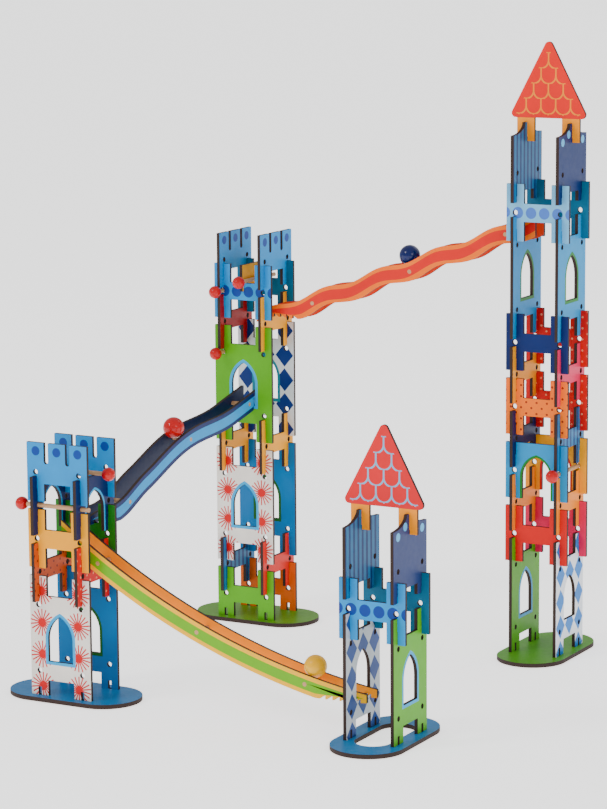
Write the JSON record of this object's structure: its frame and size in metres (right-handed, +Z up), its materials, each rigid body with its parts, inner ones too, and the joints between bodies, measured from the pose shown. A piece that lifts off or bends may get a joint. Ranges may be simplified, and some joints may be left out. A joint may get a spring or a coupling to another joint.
{
  "type": "marble run",
  "caption": "Castle marble run: towers of slotted painted boards on base plates, two-rail tracks, marbles and pegs with ball knobs.",
  "frame": {"origin": "on the ground at the middle of the footprint box", "axes": "+Z up; +X from the left towers to the right towers, along the front boards; +Y from the front towers to the back towers"},
  "size_m": [0.514, 0.576, 0.714],
  "materials": {
    "white": "satin painted MDF with dark cut edges",
    "blue": "satin painted MDF with dark cut edges",
    "orange_red": "satin painted MDF with dark cut edges",
    "yellow": "satin painted MDF with dark cut edges",
    "dark_blue": "satin painted MDF with dark cut edges",
    "light_blue": "satin painted MDF with dark cut edges",
    "green": "satin painted MDF with dark cut edges",
    "red": "satin painted MDF with dark cut edges",
    "orange": "satin painted MDF with dark cut edges",
    "cyan": "satin painted MDF with dark cut edges",
    "pale_blue": "satin painted MDF with dark cut edges",
    "natural_wood": "sanded natural beech",
    "peg_red": "gloss lacquered ball on a natural dowel",
    "marble_blue": "gloss lacquer",
    "marble_red": "gloss lacquer",
    "marble_yellow": "gloss lacquer"
  },
  "bodies": {
    "towers": {"t1_base": "blue", "t2_base": "green", "t3_base": "blue", "t4_base": "green", "t1_front_back_long": "white", "t1_side_h_low": "orange_red", "t1_front_back_h": "yellow", "t1_side_arches": "dark_blue", "t1_battlements": "light_blue", "t2_front_back_h_low": "green", "t2_side_h_low": "orange_red", "t2_front_back_long_low": "white", "t2_side_h_mid": "yellow", "t2_front_back_long_high": "green", "t2_side_h_high": "yellow", "t2_front_back_h_high": "light_blue", "t2_battlements": "light_blue", "t3_side_long": "green", "t3_front_back_h": "light_blue", "t3_spires": "dark_blue", "t4_side_long_low": "green", "t4_front_back_h_1": "red", "t4_side_h_1": "orange", "t4_front_back_arches": "cyan", "t4_side_h_2": "dark_blue", "t4_front_back_h_2": "orange", "t4_side_h_3": "yellow", "t4_front_back_h_3": "dark_blue", "t4_side_long_high": "cyan", "t4_front_back_h_4": "pale_blue", "t4_spires": "dark_blue", "t2_stop_board": "yellow"},
    "t1_peg_front": {"t1_peg_front": "peg_red"},
    "t1_peg_top": {"t1_peg_top": "peg_red"},
    "t2_peg_low": {"t2_peg_low": "peg_red"},
    "t2_peg_high": {"t2_peg_high": "peg_red"},
    "t2_peg_top": {"t2_peg_top": "peg_red"},
    "t4_peg": {"t4_peg": "peg_red"},
    "t3_roof": {"t3_roof": "red"},
    "t4_roof": {"t4_roof": "red"},
    "orange_track": {"orange_track_rails": "orange", "orange_track_dowels": "natural_wood"},
    "blue_track": {"blue_track_rails": "dark_blue", "blue_track_dowels": "natural_wood"},
    "yellow_track": {"yellow_track_rails": "yellow", "yellow_track_dowels": "natural_wood"},
    "blue_marble": {"blue_marble": "marble_blue"},
    "red_marble": {"red_marble": "marble_red"},
    "yellow_marble": {"yellow_marble": "marble_yellow"}
  },
  "joints": [
    {"name": "t1_peg_front_pull", "type": "slide", "parent": "towers", "child": "t1_peg_front", "axis": [-1, 0, 0], "range_m": [0, 0.09]},
    {"name": "t1_peg_top_pull", "type": "slide", "parent": "towers", "child": "t1_peg_top", "axis": [1, 0, 0], "range_m": [0, 0.09]},
    {"name": "t2_peg_low_pull", "type": "slide", "parent": "towers", "child": "t2_peg_low", "axis": [0, -1, 0], "range_m": [0, 0.09]},
    {"name": "t2_peg_high_pull", "type": "slide", "parent": "towers", "child": "t2_peg_high", "axis": [0, -1, 0], "range_m": [0, 0.09]},
    {"name": "t2_peg_top_pull", "type": "slide", "parent": "towers", "child": "t2_peg_top", "axis": [0, -1, 0], "range_m": [0, 0.09]},
    {"name": "t4_peg_pull", "type": "slide", "parent": "towers", "child": "t4_peg", "axis": [0, -1, 0], "range_m": [0, 0.09]},
    {"name": "t3_roof_lift", "type": "slide", "parent": "towers", "child": "t3_roof", "axis": [0, 0, 1], "range_m": [0, 0.04]},
    {"name": "t4_roof_lift", "type": "slide", "parent": "towers", "child": "t4_roof", "axis": [0, 0, 1], "range_m": [0, 0.04]},
    {"name": "orange_track_lift", "type": "slide", "parent": "towers", "child": "orange_track", "axis": [0, 0, 1], "range_m": [0, 0.015]},
    {"name": "blue_track_lift", "type": "slide", "parent": "towers", "child": "blue_track", "axis": [0, 0, 1], "range_m": [0, 0.015]},
    {"name": "yellow_track_lift", "type": "slide", "parent": "towers", "child": "yellow_track", "axis": [0, 0, 1], "range_m": [0, 0.015]},
    {"name": "blue_marble_lift", "type": "slide", "parent": "orange_track", "child": "blue_marble", "axis": [0, 0, 1], "range_m": [0, 0.04]},
    {"name": "red_marble_lift", "type": "slide", "parent": "blue_track", "child": "red_marble", "axis": [0, 0, 1], "range_m": [0, 0.04]},
    {"name": "yellow_marble_roll", "type": "hinge", "parent": "yellow_track", "child": "yellow_marble", "pos_m": [0.308, -0.208, 0.875], "axis": [0, -1, 0], "range_deg": [-15.5, 2.5]}
  ]
}
